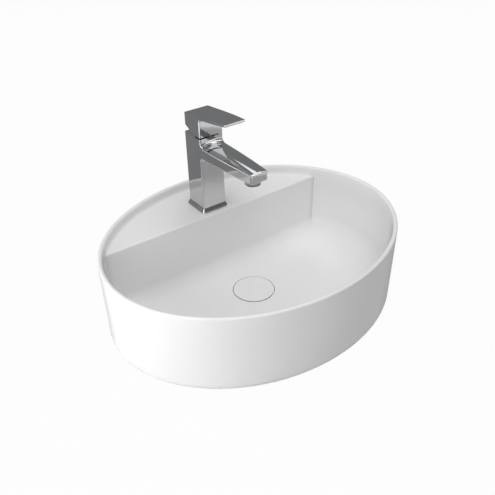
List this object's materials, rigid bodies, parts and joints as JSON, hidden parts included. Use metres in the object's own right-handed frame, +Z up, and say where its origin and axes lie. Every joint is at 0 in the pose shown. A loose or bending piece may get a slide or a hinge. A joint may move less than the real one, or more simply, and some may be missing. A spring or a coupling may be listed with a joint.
{
  "type": "countertop basin",
  "caption": "Oval white countertop basin with a rear tap deck, a square chrome single-lever mixer tap and a push-open drain with a flush ceramic cover.",
  "frame": {"origin": "middle of the basin's base, on the plane of its foot ring, which rests on the counter", "axes": "+Z up, -Y towards the user, +Y towards the tap, +X to the user's right"},
  "size_m": [0.5, 0.4, 0.3592],
  "materials": {
    "white_glaze": "satin",
    "chrome_plate": "polished",
    "brass": "satin",
    "steel": "satin",
    "stem_metal": "satin",
    "black_rubber": "matte",
    "white_plastic": "satin",
    "dark_plastic": "satin",
    "pale_plastic": "satin",
    "disc_ceramic": "polished"
  },
  "bodies": {
    "basin": {"basin_bowl": "white_glaze", "waste_body": "chrome_plate", "waste_top_gasket": "black_rubber", "waste_lower_gasket": "black_rubber", "waste_slip_washer": "white_plastic", "waste_back_nut": "brass", "waste_guide": "white_plastic", "waste_spring": "steel", "tap_body": "chrome_plate", "tap_base_ring": "chrome_plate", "tap_base_gasket": "black_rubber", "fixing_stud": "steel", "fixing_gasket": "black_rubber", "fixing_plate": "steel", "fixing_nut": "brass", "cartridge_base_seals": "black_rubber", "cartridge_base": "white_plastic", "fixed_disc": "disc_ceramic", "cartridge_shell": "white_plastic", "cartridge_nut": "chrome_plate", "aerator_housing": "chrome_plate", "aerator_insert": "pale_plastic", "aerator_washer": "black_rubber"},
    "drain_cover": {"waste_cover": "white_glaze", "waste_cover_seal": "black_rubber", "waste_plunger": "white_plastic"},
    "swivel": {"cartridge_rotor": "dark_plastic", "stem_pivot_pin": "steel"},
    "lever": {"lever_handle": "chrome_plate", "lever_stem": "stem_metal", "handle_grub_screw": "steel", "handle_plug": "dark_plastic"},
    "disc": {"moving_disc": "disc_ceramic", "disc_carrier": "dark_plastic"}
  },
  "joints": [
    {"name": "handle_swivel", "type": "hinge", "parent": "basin", "child": "swivel", "pos_m": [0, 0.129, 0.247], "axis": [0, 0, 1], "range_deg": [-45, 45]},
    {"name": "handle_lift", "type": "hinge", "parent": "swivel", "child": "lever", "pos_m": [0, 0.129, 0.247], "axis": [-1, 0, 0], "range_deg": [0, 25]},
    {"name": "disc_slide", "type": "slide", "parent": "swivel", "child": "disc", "axis": [0, -1, 0], "range_m": [0, 0.0047]},
    {"name": "cover_lift", "type": "slide", "parent": "basin", "child": "drain_cover", "axis": [0, 0, 1], "range_m": [0, 0.009], "deforming": ["waste_spring"]}
  ],
  "couplings": [
    {"joint": "disc_slide", "follows": "handle_lift", "m_per_rad": 0.010654}
  ]
}
